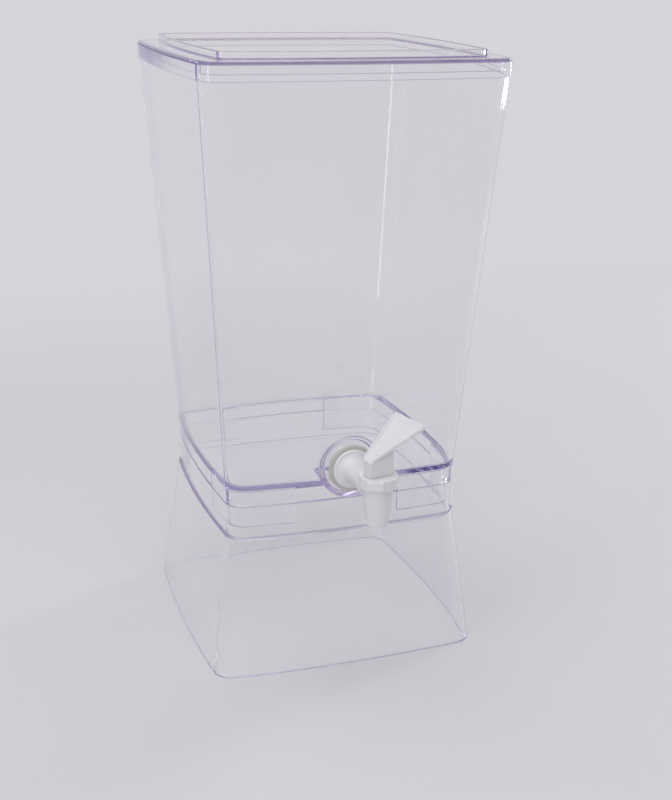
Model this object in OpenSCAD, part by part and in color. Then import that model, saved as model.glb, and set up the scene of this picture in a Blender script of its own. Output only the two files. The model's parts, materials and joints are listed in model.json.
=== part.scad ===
// Clear drinks dispenser: a tapered tank on a flared stand, with a lid and a self-closing lever tap.
// Millimetres. +Z is up, the tap faces -Y, and the origin is the middle of the stand's foot.

/* [Plan shape] */
// Outward bow of each side, from its ends to its middle
side_bow = 5.5;             // [3:0.5:8]
// Outside corner radius, seen from above
corner_radius = 16;         // [12:1:22]

/* [Stand] */
// Outside width at the foot, across the middle of the sides
foot_width = 224;           // [218:1:234]
// Height of the flared skirt
skirt_height = 112;         // [90:1:130]
// Height of the upright collar above the shoulder
collar_height = 25;         // [20:1:32]
// Step from the skirt in to the collar
shoulder_step = 1.4;        // [0.8:0.1:3]
// Wall thickness of the stand
stand_wall = 2.6;           // [2:0.1:3.4]

/* [Tank] */
// Outside width at the floor
floor_width = 195.3;        // [186:0.1:204]
// Outside width under the rim band
mouth_width = 238;          // [228:1:248]
// Height from the underside of the floor to the rim band
body_height = 304.3;        // [260:0.1:330]
// Height of the upright rim band
rim_height = 11.1;          // [9:0.1:14]
// How far the rim band stands out from the wall
rim_lip = 0.6;              // [0.4:0.1:1.5]
// Wall thickness of the tank
tank_wall = 3;              // [2.4:0.1:3.6]
// Thickness of the floor
floor_thickness = 3.8;      // [2.8:0.1:4.4]
// Height of the plinth between the floor and the collar
plinth_height = 12;         // [10:0.5:16]
// How far the plinth is set in from the tank wall
plinth_inset = 0.7;         // [0.7:0.1:1.4]
// Length of the corner feet inside the collar
corner_foot_drop = 18;      // [12:1:18]
// Half the open length between two corner feet
corner_foot_start = 42;     // [36:1:50]
// Wall thickness of the corner feet
corner_foot_wall = 2.2;     // [1.8:0.1:2.8]
// Depth of the sump behind the tap seat
sump_depth = 36;            // [30:1:44]

/* [Lid] */
// Thickness of the flange and the middle panel
lid_thickness = 2.2;        // [1.8:0.1:3]
// Height of the raised frame above the flange
frame_height = 5.4;         // [4:0.1:8]
// Distance from the flange edge in to the raised frame
frame_inset = 14.8;         // [12:0.1:18]
// Wall thickness of the raised frame
frame_wall = 2.4;           // [2:0.1:3.2]
// Depth of the plug skirt below the flange
plug_depth = 7;             // [5:0.5:9]
// Wall thickness of the plug skirt
plug_wall = 2;              // [1.6:0.1:2.6]

/* [Tap body] */
// Diameter of the round tap seat on the tank
seat_diameter = 50;         // [48:1:54]
// Diameter of the threaded shank
shank_diameter = 16;        // [15:0.5:18]
// Length of the shank past the nut
shank_end = 4;              // [2:0.5:8]
// Diameter of the flange
flange_diameter = 31;       // [29:0.5:34]
// Thickness of the flange
flange_thickness = 3;       // [2.4:0.1:4]
// Flat edge of the flange round the dome
flange_edge = 3;            // [2:0.5:4]
// Length of the dome, from the flange to the neck
dome_length = 12;           // [8:0.5:20]
// Diameter of the neck
neck_diameter = 16;         // [15:0.5:17]
// Diameter of the water way in the shank and the neck
bore_diameter = 10;         // [8:0.5:10.5]
// Distance from the tap seat to the barrel axis
tap_reach = 58.5;           // [54:0.5:66]
// Length of the spout below the neck axis
spout_length = 22;          // [20:0.5:28]
// Outside diameter at the end of the spout
spout_end_diameter = 16.4;  // [15.5:0.1:18]
// Outside diameter of the barrel under the bonnet
barrel_diameter = 22.6;     // [22:0.1:24]
// Wall thickness of the spout
tap_wall = 1.9;             // [1.6:0.1:2.1]
// Diameter of the outlet hole in the valve seat
outlet_diameter = 9;        // [8:0.1:10]

/* [Gaskets and nut] */
// Diameter of the outer gasket
outer_gasket_diameter = 37; // [35:0.5:40]
// Thickness of the outer gasket
outer_gasket_thickness = 3; // [2:0.1:3.6]
// Diameter of the inner gasket
inner_gasket_diameter = 27; // [25:0.5:29]
// Thickness of the inner gasket
inner_gasket_thickness = 2; // [1.5:0.1:2.5]
// Width of the hexagon nut across its flats
nut_width = 25;             // [23:0.5:28]
// Height of the nut
nut_height = 8;             // [6:0.5:10]

/* [Bonnet and valve] */
// Diameter of the bonnet ring
bonnet_diameter = 28.4;     // [28:0.1:31]
// Height of the bonnet ring
bonnet_height = 8.7;        // [8:0.1:10]
// Thickness of the bonnet plate
bonnet_plate = 1.6;         // [1.4:0.1:2.2]
// Height of the thin rim round the bonnet plate
bonnet_rim = 0.8;           // [0.4:0.1:1.2]
// Direction of the flat pad on the bonnet, turned from the front to the left
pad_heading = 29;           // [0:1:90]
// Width of the flat pad on the bonnet
pad_width = 12;             // [10:0.5:14]
// Depth of the valve seat below the neck axis
valve_seat_depth = 7;       // [6:0.5:8]
// Diameter of the valve stem
stem_diameter = 6;          // [5.6:0.1:6.4]
// Thickness of the flat head of the stem
stem_head_thickness = 4;    // [3.4:0.1:4.4]
// Height of the soft seat cup
seat_cup_height = 7;        // [6:0.5:8]
// Wire diameter of the spring
wire_diameter = 1;          // [0.8:0.1:1.1]
// Number of turns of the spring
spring_turns = 5;           // [4:1:6]

/* [Lever] */
// Direction of the lever, turned from +X towards the back
lever_heading = 13;         // [-60:1:75]
// Upward slope of the paddle when the tap is closed
lever_rise = 34;            // [28:1:40]
// Length of the paddle
paddle_length = 45;         // [36:1:52]
// Width of the paddle at its tip
paddle_tip_width = 36.6;    // [30:0.1:40]
// Width of the lever block and the root of the paddle
lever_width = 9.8;          // [9.4:0.1:11]
// Thickness of the paddle with its raised lip
paddle_thickness = 3;       // [2.6:0.1:4]
// Width of the raised lip round the paddle
lip_width = 1.6;            // [1.2:0.1:2.2]
// Half the length of the lever block, from the axis to the heel
heel_length = 10;           // [9.5:0.1:11]
// Height of the lever pin above the bonnet plate
pin_height = 5;             // [4.4:0.1:5.6]
// Diameter of the lever pin
pin_diameter = 2.4;         // [2:0.1:2.6]

/* [Fits] */
// Gap round the corner feet and the lid plug
drop_in_gap = 0.5;          // [0.4:0.1:0.8]
// Gap from the sump to the collar and to the plinth ends
sump_gap = 2;               // [1.5:0.5:3]
// Radial gap of a gasket, nut or cap on its thread
thread_gap = 0.2;           // [0.1:0.05:0.3]
// Radial gap of the stem in the bonnet and of the pin in the stem
running_gap = 0.06;         // [0.04:0.01:0.1]
// Gap on each side of the stem head, and under the lever block
side_gap = 0.15;            // [0.1:0.05:0.3]

/* [Hidden] */
$fn = 72;
side_steps = 12;
corner_steps = 10;
overlap = 0.5;
past = 20;
floor_edge = 0.6;
foot_bridge = 1;
tap_edge = 0.5;
flange_cut = 1;
bonnet_rim_width = 1.2;
pad_margin = 1.2;
pad_depth = 2;
pad_stand_out = 0.4;
cup_gap = 0.8;
cup_nose = 1.5;
cup_floor = 1;
cup_step = 2.5;
cup_wall = 2.4;
coil_gap = 0.6;
root_overhang = 0.3;
root_rise = 2;
paddle_sink = 0.6;
slot_room = 2.6;
slot_head_room = 2;

seat_height = skirt_height + collar_height;
floor_height = seat_height + plinth_height;
rim_base = floor_height + body_height;
rim_top = rim_base + rim_height;
floor_half = floor_width / 2;
mouth_half = mouth_width / 2;
rim_half = mouth_half + rim_lip;
collar_half = floor_half - plinth_inset;
shoulder_half = collar_half + shoulder_step;
foot_half = foot_width / 2;
inner_radius = corner_radius - tank_wall;

flange_half = rim_half - rim_lip;
frame_half = flange_half - frame_inset;
frame_radius = 5;

seat_radius = seat_diameter / 2;
tap_height = seat_height + sump_gap + seat_radius;
seat_lip = 1;
seat_face = wall_half(tap_height + seat_radius) + seat_lip;
shank_radius = shank_diameter / 2;
neck_radius = neck_diameter / 2;
shank_length = tank_wall + inner_gasket_thickness + nut_height + shank_end;

bonnet_base = neck_radius + thread_gap;
bonnet_top = bonnet_base + bonnet_height;
plate_top = bonnet_top - bonnet_rim;
plate_base = plate_top - bonnet_plate;
bonnet_bore = barrel_diameter / 2;
valve_seat = -valve_seat_depth;
chamber_radius = cone_radius(valve_seat) - tap_wall;
spout_bore = spout_end_diameter / 2 - tap_wall;
stem_radius = stem_diameter / 2;
pin_level = plate_top + pin_height;
pin_radius = pin_diameter / 2;
block_width = lever_width - 2 * root_overhang;
seat_cup_radius = chamber_radius - cup_gap;
seat_cup_top = valve_seat + seat_cup_height;

function spin(a, p) = [p.x * cos(a) - p.y * sin(a), p.x * sin(a) + p.y * cos(a)];

// Half the outside width of the tank wall at a height
function wall_half(z) = floor_half + (mouth_half - floor_half) * (z - floor_height) / body_height;

// Outside radius of the spout and barrel, at a height from the neck axis
function cone_radius(z) = spout_end_diameter / 2
    + (barrel_diameter - spout_end_diameter) / 2 * (z + spout_length) / (spout_length + bonnet_base);

// Square with bowed sides and round corners that meet them smoothly
function outline(half, radius) = let (
    arc = (half * half + side_bow * side_bow) / (2 * side_bow),
    shift = arc - half,
    middle = (sqrt(2 * pow(arc - radius, 2) - shift * shift) - shift) / 2,
    turn = atan2(middle, middle + shift))
    [for (quarter = [0:3]) each concat(
        [for (i = [0:side_steps - 1]) let (a = turn * (2 * i / side_steps - 1))
            spin(90 * quarter, [arc * cos(a) - shift, arc * sin(a)])],
        [for (i = [0:corner_steps - 1]) let (a = turn + (90 - 2 * turn) * i / corner_steps)
            spin(90 * quarter, [middle + radius * cos(a), middle + radius * sin(a)])])];

// Solid through a list of outlines, each given as [half width, corner radius, height]
module loft(rings) {
    points = 4 * (side_steps + corner_steps);
    polyhedron(
        points = [for (r = rings) each [for (p = outline(r[0], r[1])) [p.x, p.y, r[2]]]],
        faces = concat(
            [[for (i = [0:points - 1]) i]],
            [for (j = [0:len(rings) - 2]) each [for (i = [0:points - 1]) let (k = (i + 1) % points)
                [j * points + i, (j + 1) * points + i, (j + 1) * points + k, j * points + k]]],
            [[for (i = [points - 1:-1:0]) (len(rings) - 1) * points + i]]));
}

// Upright wall that follows the outline
module wall_ring(half, radius, wall, base, top) {
    translate([0, 0, base])
    linear_extrude(top - base)
    difference() {
        polygon(outline(half, radius));
        polygon(outline(half - wall, max(radius - wall, 1)));
    }
}

// Turns a shape made along +Z to point forward from the tap seat
module at_tap() translate([0, -seat_face, tap_height]) rotate([90, 0, 0]) children();

module at_barrel() translate([0, -seat_face - tap_reach, tap_height]) children();

module at_lever() at_barrel() translate([0, 0, pin_level]) rotate([0, 0, lever_heading]) children();

module washer(outer, inner, base, height) {
    translate([0, 0, base])
    difference() {
        cylinder(r = outer, h = height);
        translate([0, 0, -overlap]) cylinder(r = inner, h = height + 2 * overlap);
    }
}

module stand() color([0.86, 0.84, 0.93, 0.35]) {
    inner = corner_radius - stand_wall;
    difference() {
        loft([[foot_half, corner_radius, 0], [shoulder_half, corner_radius, skirt_height],
            [collar_half, corner_radius, skirt_height], [collar_half, corner_radius, seat_height]]);
        loft([[foot_half - stand_wall, inner, -overlap],
            [shoulder_half - stand_wall, inner, skirt_height - stand_wall],
            [collar_half - stand_wall, inner, skirt_height - stand_wall],
            [collar_half - stand_wall, inner, seat_height + overlap]]);
    }
}

// Plinth wall with its front gap, on the edge of the collar
module plinth() {
    gap = seat_radius + 2 * sump_gap;
    difference() {
        wall_ring(collar_half, corner_radius, stand_wall, seat_height, floor_height + overlap);
        translate([-gap, -collar_half - past, seat_height - past])
            cube([2 * gap, 2 * past, plinth_height + 2 * past]);
    }
}

// Corner walls that drop inside the collar and keep the tank from sliding
module corner_feet() {
    outer = collar_half - stand_wall - drop_in_gap;
    bridge = stand_wall / 2 + drop_in_gap;
    intersection() {
        union() {
            wall_ring(outer, corner_radius - stand_wall, corner_foot_wall,
                seat_height - corner_foot_drop, floor_height + overlap);
            wall_ring(outer + bridge, corner_radius - foot_bridge, bridge + foot_bridge,
                seat_height, floor_height + overlap);
        }
        for (x = [0, 1], y = [0, 1]) mirror([x, 0, 0]) mirror([0, y, 0])
            translate([corner_foot_start, corner_foot_start, 0])
                cube([collar_half, collar_half, floor_height + past]);
    }
}

module tank() color([0.88, 0.87, 0.95, 0.35])
    difference() {
        union() {
            loft([[floor_half - floor_edge, corner_radius - floor_edge, floor_height],
                [floor_half, corner_radius, floor_height + floor_edge],
                [mouth_half, corner_radius, rim_base],
                [rim_half, corner_radius, rim_base], [rim_half, corner_radius, rim_top]]);
            plinth();
            corner_feet();
            at_tap() translate([0, 0, -sump_depth]) cylinder(r = seat_radius, h = sump_depth);
        }
        loft([[wall_half(floor_height + floor_thickness) - tank_wall, inner_radius,
                floor_height + floor_thickness],
            [wall_half(rim_top + overlap) - tank_wall, inner_radius, rim_top + overlap]]);
        at_tap() {
            translate([0, 0, tank_wall - sump_depth])
                cylinder(r = seat_radius - tank_wall, h = sump_depth - 2 * tank_wall);
            translate([0, 0, -tank_wall - overlap])
                cylinder(r = shank_radius + thread_gap, h = tank_wall + 2 * overlap);
        }
    }

module lid() color([0.88, 0.87, 0.95, 0.35]) {
    plug_half = wall_half(rim_top - plug_depth) - tank_wall - drop_in_gap;
    wall_ring(plug_half, inner_radius, plug_wall, rim_top - plug_depth, rim_top + overlap);
    translate([0, 0, rim_top]) linear_extrude(lid_thickness) polygon(outline(flange_half, corner_radius));
    wall_ring(frame_half, frame_radius, frame_wall,
        rim_top + overlap, rim_top + lid_thickness + frame_height);
}

module outer_gasket() color([0.72, 0.72, 0.68])
    at_tap() washer(outer_gasket_diameter / 2, shank_radius + thread_gap, 0, outer_gasket_thickness);

module inner_gasket() color([0.72, 0.72, 0.68])
    at_tap() washer(inner_gasket_diameter / 2, shank_radius + thread_gap,
        -tank_wall - inner_gasket_thickness, inner_gasket_thickness);

module tap_nut() color([0.95, 0.95, 0.96])
    at_tap() translate([0, 0, -tank_wall - inner_gasket_thickness - nut_height])
    difference() {
        linear_extrude(nut_height)
            polygon([for (i = [0:5]) nut_width / sqrt(3) * [cos(60 * i), sin(60 * i)]]);
        translate([0, 0, -overlap]) cylinder(r = shank_radius + thread_gap, h = nut_height + 2 * overlap);
    }

// Half section of the shank, flange, dome and neck, as [radius, distance forward of the seat]
function tap_profile() = let (
    face = outer_gasket_thickness + flange_thickness,
    dome = flange_diameter / 2 - flange_edge,
    drop = dome - neck_radius)
    concat(
        [[0, -shank_length], [shank_radius - flange_cut, -shank_length],
            [shank_radius, -shank_length + flange_cut],
            [shank_radius, outer_gasket_thickness], [flange_diameter / 2, outer_gasket_thickness],
            [flange_diameter / 2, face - flange_cut], [flange_diameter / 2 - flange_cut, face], [dome, face]],
        [for (i = [1:6]) [dome - drop * sin(15 * i), face + dome_length * (1 - cos(15 * i))]],
        [[neck_radius, tap_reach], [0, tap_reach]]);

module tap_body() color([0.96, 0.96, 0.97])
    difference() {
        union() {
            at_tap() rotate_extrude() polygon(tap_profile());
            at_barrel() rotate_extrude() polygon([[0, -spout_length],
                [spout_end_diameter / 2 - tap_edge, -spout_length],
                [spout_end_diameter / 2, -spout_length + tap_edge],
                [bonnet_bore, bonnet_base], [bonnet_bore - thread_gap, bonnet_base],
                [bonnet_bore - thread_gap, plate_base - tap_edge], [0, plate_base - tap_edge]]);
        }
        at_tap() translate([0, 0, -shank_length - overlap])
            cylinder(d = bore_diameter, h = shank_length + tap_reach + overlap);
        at_barrel() rotate_extrude() polygon([[0, valve_seat],
            [chamber_radius, valve_seat], [chamber_radius, plate_base], [0, plate_base]]);
        at_barrel() rotate_extrude() polygon([[0, -spout_length - overlap],
            [spout_bore, -spout_length - overlap], [spout_bore, -spout_length],
            [outlet_diameter / 2, valve_seat - tap_wall], [outlet_diameter / 2, valve_seat + overlap],
            [0, valve_seat + overlap]]);
    }

module bonnet() color([0.97, 0.97, 0.98])
    at_barrel() difference() {
        ring = bonnet_diameter / 2;
        union() {
            rotate_extrude() polygon([[stem_radius + running_gap, plate_base], [bonnet_bore, plate_base],
                [bonnet_bore, bonnet_base], [ring - tap_edge, bonnet_base], [ring, bonnet_base + tap_edge],
                [ring, bonnet_top - tap_edge], [ring - tap_edge, bonnet_top],
                [ring - bonnet_rim_width, bonnet_top], [ring - bonnet_rim_width - tap_edge, plate_top],
                [stem_radius + running_gap, plate_top]]);
            rotate([0, 0, -90 - pad_heading])
            translate([ring + pad_stand_out - pad_depth, -pad_width / 2, bonnet_base + pad_margin])
                cube([pad_depth, pad_width, bonnet_height - 2 * pad_margin]);
        }
        translate([0, 0, bonnet_base - overlap])
            cylinder(r = bonnet_bore, h = plate_base - bonnet_base + overlap);
    }

// The flats of the head reach down through the bonnet plate, so that the lever block clears the round part
module valve_stem() color([0.92, 0.92, 0.94])
    at_lever() difference() {
        foot = valve_seat + cup_floor - pin_level;
        translate([0, 0, foot]) cylinder(r = stem_radius, h = stem_radius + tap_edge - foot);
        for (side = [0, 1]) mirror([0, side, 0])
            translate([-past / 2, stem_head_thickness / 2, -pin_height - bonnet_plate]) cube(past);
        rotate([90, 0, 0]) cylinder(r = pin_radius + running_gap, h = past, center = true);
    }

module seat_cup() color([0.82, 0.83, 0.84])
    at_barrel() difference() {
        nose = outlet_diameter / 2 - tap_edge;
        rotate_extrude() polygon([[0, valve_seat - cup_nose], [nose - tap_edge, valve_seat - cup_nose],
            [nose, valve_seat], [seat_cup_radius, valve_seat], [seat_cup_radius, valve_seat + cup_step],
            [stem_radius + cup_wall, seat_cup_top], [0, seat_cup_top]]);
        translate([0, 0, valve_seat + cup_floor]) cylinder(r = stem_radius, h = seat_cup_height);
    }

// Round wire wound about +Z
module coil(radius, wire, base, top, turns) {
    steps = 24 * turns;
    sides = 8;
    polyhedron(
        points = [for (i = [0:steps]) let (a = 360 * turns * i / steps, h = base + (top - base) * i / steps)
            each [for (j = [0:sides - 1]) let (b = 360 * j / sides, r = radius + wire * cos(b))
                [r * cos(a), r * sin(a), h + wire * sin(b)]]],
        faces = concat(
            [[for (j = [0:sides - 1]) j]],
            [for (i = [0:steps - 1]) each [for (j = [0:sides - 1]) let (k = (j + 1) % sides)
                [i * sides + j, (i + 1) * sides + j, (i + 1) * sides + k, i * sides + k]]],
            [[for (j = [sides - 1:-1:0]) steps * sides + j]]));
}

module spring() color([0.7, 0.71, 0.73])
    at_barrel() coil(stem_radius + coil_gap + wire_diameter / 2, wire_diameter / 2,
        seat_cup_top + wire_diameter / 2, plate_base - wire_diameter / 2, spring_turns);

// Side view of the lever block, as [distance along the lever, height from the pin]
function block_side() = let (
    base = -pin_height + side_gap,
    root = pin_height + root_rise)
    [[-heel_length, base], [heel_length, base],
        [heel_length, root + 2 * heel_length * tan(lever_rise)], [-heel_length, root]];

// Paddle seen from above, with its edges moved in
function paddle_plan(edge) = let (
    flare = atan2((paddle_tip_width - lever_width) / 2, paddle_length),
    side = edge / cos(flare),
    root = lever_width / 2 + edge * tan(flare) - side,
    tip = paddle_tip_width / 2 - edge * tan(flare) - side)
    [[edge, -root], [paddle_length - edge, -tip], [paddle_length - edge, tip], [edge, root]];

module lever() color([0.98, 0.98, 0.99])
    at_lever() difference() {
        union() {
            translate([0, block_width / 2, 0]) rotate([90, 0, 0])
                linear_extrude(block_width) polygon(block_side());
            translate([-heel_length, 0, pin_height + root_rise]) rotate([0, -lever_rise, 0])
            translate([-root_overhang, 0, -paddle_sink]) difference() {
                linear_extrude(paddle_thickness) polygon(paddle_plan(0));
                translate([0, 0, paddle_thickness / 2])
                    linear_extrude(paddle_thickness) polygon(paddle_plan(lip_width));
            }
        }
        slot = stem_head_thickness / 2 + side_gap;
        reach = stem_radius + slot_room;
        translate([-reach, -slot, -past]) cube([2 * reach, 2 * slot, past + stem_radius + slot_head_room]);
        rotate([90, 0, 0]) cylinder(r = pin_radius, h = past, center = true);
    }

module lever_pin() color([0.93, 0.93, 0.95])
    at_lever() rotate([90, 0, 0]) translate([0, 0, -block_width / 2])
        cylinder(r = pin_radius, h = block_width);

stand();
tank();
lid();
outer_gasket();
inner_gasket();
tap_nut();
tap_body();
bonnet();
valve_stem();
seat_cup();
spring();
lever();
lever_pin();
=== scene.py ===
"""Looks of a clear stackable drinks dispenser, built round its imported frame.

Sizes in this script are millimetres. Meshes are in metres, in the part's own frame:
+Z is up, the tap faces -Y, and the origin is the middle of the stand's foot.
"""

import json
import logging
import math
from dataclasses import dataclass, replace
from enum import Enum
from typing import Callable, NamedTuple, Sequence

import bmesh
import bpy
import numpy as np
from mathutils import Matrix, Vector


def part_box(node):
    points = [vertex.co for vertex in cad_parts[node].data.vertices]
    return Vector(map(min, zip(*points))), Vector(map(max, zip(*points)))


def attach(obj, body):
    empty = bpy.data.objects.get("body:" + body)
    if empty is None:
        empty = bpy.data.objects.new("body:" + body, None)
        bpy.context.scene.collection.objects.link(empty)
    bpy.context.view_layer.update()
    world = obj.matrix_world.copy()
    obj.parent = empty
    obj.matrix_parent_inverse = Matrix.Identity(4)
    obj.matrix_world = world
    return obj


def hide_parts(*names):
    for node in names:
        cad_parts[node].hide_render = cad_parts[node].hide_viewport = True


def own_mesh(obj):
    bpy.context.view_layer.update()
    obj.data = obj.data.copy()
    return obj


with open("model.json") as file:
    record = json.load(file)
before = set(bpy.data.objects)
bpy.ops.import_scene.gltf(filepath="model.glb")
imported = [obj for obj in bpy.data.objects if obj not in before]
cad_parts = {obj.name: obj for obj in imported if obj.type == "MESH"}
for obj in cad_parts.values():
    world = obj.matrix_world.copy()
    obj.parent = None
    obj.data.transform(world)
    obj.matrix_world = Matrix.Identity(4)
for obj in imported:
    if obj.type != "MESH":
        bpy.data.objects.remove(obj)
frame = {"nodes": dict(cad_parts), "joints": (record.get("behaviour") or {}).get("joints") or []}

LOG = logging.getLogger("dispenser")
MM = 0.001
FILLET_STEPS = 6
TURN_STEPS = 96
# Attribute that holds the mask of the painted edge shade
EDGE_SHADE_LAYER = "edge"

# Gap, in millimetres, that keeps neighbouring pieces from sharing a face
CLEARANCE = 0.05

# Moulded sections start past their axis, so that none of their surface lies on it
PAST_AXIS = -1.0

Points = np.ndarray
Field = Callable[[Points], Points]
Place = tuple[float, float, float]
Color = tuple[float, float, float]


class Slot(Enum):
    """Material slots of the part's record."""

    CLEAR = "clear_plastic"
    WHITE = "white_plastic"
    SILICONE = "silicone"
    STEEL = "spring_steel"


class Station(NamedTuple):
    """A corner of a wall section.

    Attributes:
        half: Half the width across the middle of the sides.
        radius: Corner radius in plan.
        z: Height.
        fillet: Radius that rounds this corner of the section.
    """

    half: float
    radius: float
    z: float
    fillet: float = 0.0


class Corner(NamedTuple):
    """A corner of a turned profile: distance from the axis, place along it, and its rounding."""

    r: float
    t: float
    fillet: float = 0.0


# Shapes


def round_corners(
    points: Sequence[tuple[float, float]],
    fillets: Sequence[float],
    closed: bool,
    hold: float = 0.0,
) -> list[tuple[float, float, int]]:
    """Rounds the corners of a line in a plane with arcs.

    Args:
        points: Corners of the line.
        fillets: Radius at each corner, 0 for a sharp one.
        closed: Whether the last corner joins the first.
        hold: Distance past each arc at which one more point keeps the flat beside it flat.

    Returns:
        Points of the rounded line, each with the number of the corner that it came from.
    """
    out: list[tuple[float, float, int]] = []
    count = len(points)
    for i, (point, fillet) in enumerate(zip(points, fillets)):
        here = np.array(point, float)
        if fillet <= 0 or (not closed and i in (0, count - 1)):
            out.append((*here, i))
            continue
        before = np.array(points[i - 1], float) - here
        after = np.array(points[(i + 1) % count], float) - here
        long_before, long_after = np.linalg.norm(before), np.linalg.norm(after)
        before, after = before / long_before, after / long_after
        inside = math.acos(float(np.clip(before @ after, -1, 1)))
        reach = min(fillet / math.tan(inside / 2), 0.45 * long_before, 0.45 * long_after)
        radius = reach * math.tan(inside / 2)
        middle = before + after
        centre = here + middle / np.linalg.norm(middle) * radius / math.sin(inside / 2)
        start, end = here + before * reach - centre, here + after * reach - centre
        sweep = math.pi - inside
        if hold and reach + hold < 0.5 * long_before:
            out.append((*(here + before * (reach + hold)), i))
        for k in range(FILLET_STEPS + 1):
            share = k / FILLET_STEPS
            turn = math.sin((1 - share) * sweep) * start + math.sin(share * sweep) * end
            out.append((*(centre + turn / math.sin(sweep)), i))
        if hold and reach + hold < 0.5 * long_after:
            out.append((*(here + after * (reach + hold)), i))
    return out


def link(name: str, mesh: bpy.types.Mesh) -> bpy.types.Object:
    """Puts a mesh in the scene as an object at the origin.

    Args:
        name: Name of the object and its mesh.
        mesh: The mesh, with its place in its vertices.

    Returns:
        The new object.
    """
    mesh.name = name
    made = bpy.data.objects.new(name, mesh)
    bpy.context.scene.collection.objects.link(made)
    return made


def mesh_object(name: str, points: Points, faces: Sequence[Sequence[int]]) -> bpy.types.Object:
    """Makes a closed mesh object with its faces outward.

    Args:
        name: Name of the object.
        points: Vertices, in millimetres.
        faces: Vertex numbers of each face.

    Returns:
        The new object.
    """
    mesh = bpy.data.meshes.new(name)
    mesh.from_pydata((np.asarray(points) * MM).tolist(), [], [list(map(int, f)) for f in faces])
    mesh.validate()
    work = bmesh.new()
    work.from_mesh(mesh)
    bmesh.ops.recalc_face_normals(work, faces=work.faces)
    work.to_mesh(mesh)
    work.free()
    return link(name, mesh)


def shade(obj: bpy.types.Object, sharp_angle: float = 40.0) -> bpy.types.Object:
    """Shades an object smooth, with edges past an angle kept sharp, and holds its flats flat.

    Args:
        obj: The object to shade.
        sharp_angle: Angle between faces, in degrees, past which an edge stays sharp.

    Returns:
        The same object.
    """
    obj.data.shade_smooth()
    obj.data.set_sharp_from_angle(angle=math.radians(sharp_angle))
    weighted = obj.modifiers.new("flat_faces", "WEIGHTED_NORMAL")
    weighted.keep_sharp = True
    weighted.weight = 90
    return bake(obj)


def bake(obj: bpy.types.Object) -> bpy.types.Object:
    """Replaces an object's mesh with the result of its modifiers, and removes them.

    Args:
        obj: An object with modifiers.

    Returns:
        The same object.
    """
    graph = bpy.context.evaluated_depsgraph_get()
    mesh = bpy.data.meshes.new_from_object(obj.evaluated_get(graph), depsgraph=graph)
    obj.modifiers.clear()
    old, name = obj.data, obj.name
    obj.data = mesh
    bpy.data.meshes.remove(old)
    mesh.name = name
    return obj


def carve(
    obj: bpy.types.Object, tools: Sequence[bpy.types.Object], operation: str
) -> bpy.types.Object:
    """Joins or cuts an object with others, which are used up.

    Args:
        obj: The object that is changed.
        tools: Closed meshes that are added or taken away.
        operation: "UNION", "DIFFERENCE" or "INTERSECT".

    Returns:
        The same object.
    """
    for tool in tools:
        cut = obj.modifiers.new(tool.name, "BOOLEAN")
        cut.operation = operation
        cut.solver = "EXACT"
        cut.object = tool
    bake(obj)
    for tool in tools:
        bpy.data.objects.remove(tool)
    return obj


@dataclass(frozen=True)
class Plan:
    """The square with bowed sides and round corners that every level of the dispenser follows."""

    bow: float = 5.5
    side_steps: int = 48
    corner_steps: int = 18
    hold: float = 0.35
    least_radius: float = 0.4

    @property
    def count(self) -> int:
        """Number of points in an outline."""
        return 4 * (self.side_steps + self.corner_steps)

    def outline(self, half: float, radius: float) -> Points:
        """Points of the outline, turning left from the right-hand side.

        Args:
            half: Half the width across the middle of the sides.
            radius: Corner radius.

        Returns:
            An array of x and y.
        """
        arc = (half**2 + self.bow**2) / (2 * self.bow)
        shift = arc - half
        middle = (math.sqrt(2 * (arc - radius) ** 2 - shift**2) - shift) / 2
        turn = math.atan2(middle, middle + shift)
        a = turn * (2 * np.arange(self.side_steps) / self.side_steps - 1)
        b = turn + (math.pi / 2 - 2 * turn) * np.arange(self.corner_steps) / self.corner_steps
        quarter = np.concatenate(
            [
                np.column_stack([arc * np.cos(a) - shift, arc * np.sin(a)]),
                np.column_stack([middle + radius * np.cos(b), middle + radius * np.sin(b)]),
            ]
        )
        sides = [quarter]
        for _ in range(3):
            sides.append(np.column_stack([-sides[-1][:, 1], sides[-1][:, 0]]))
        return np.concatenate(sides)

    def shell(self, name: str, section: Sequence[Station], closed: bool) -> bpy.types.Object:
        """Sweeps a wall section round the outline.

        Args:
            name: Name of the object.
            section: Corners of the section, from the bottom outside upwards.
            closed: Whether the section closes on itself; otherwise flat caps close its two ends.

        Returns:
            The new object.
        """
        rounded = round_corners(
            [(s.half, s.z) for s in section], [s.fillet for s in section], closed, self.hold
        )
        rings = []
        for half, z, i in rounded:
            radius = max(section[i].radius + half - section[i].half, self.least_radius)
            flat = self.outline(half, radius)
            rings.append(np.column_stack([flat, np.full(len(flat), z)]))
        n, levels = self.count, len(rings)
        around = np.arange(n)
        following = (around + 1) % n
        faces: list[Sequence[int]] = []
        for j in range(levels if closed else levels - 1):
            k = (j + 1) % levels
            faces.extend(
                np.column_stack(
                    [j * n + around, j * n + following, k * n + following, k * n + around]
                )
            )
        if not closed:
            faces.append(around[::-1])
            faces.append((levels - 1) * n + around)
        return mesh_object(name, np.concatenate(rings), faces)


class Axis(Enum):
    """Direction of a turned shape: forward from the tap seat, or up."""

    FORWARD = "forward"
    UP = "up"


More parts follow.
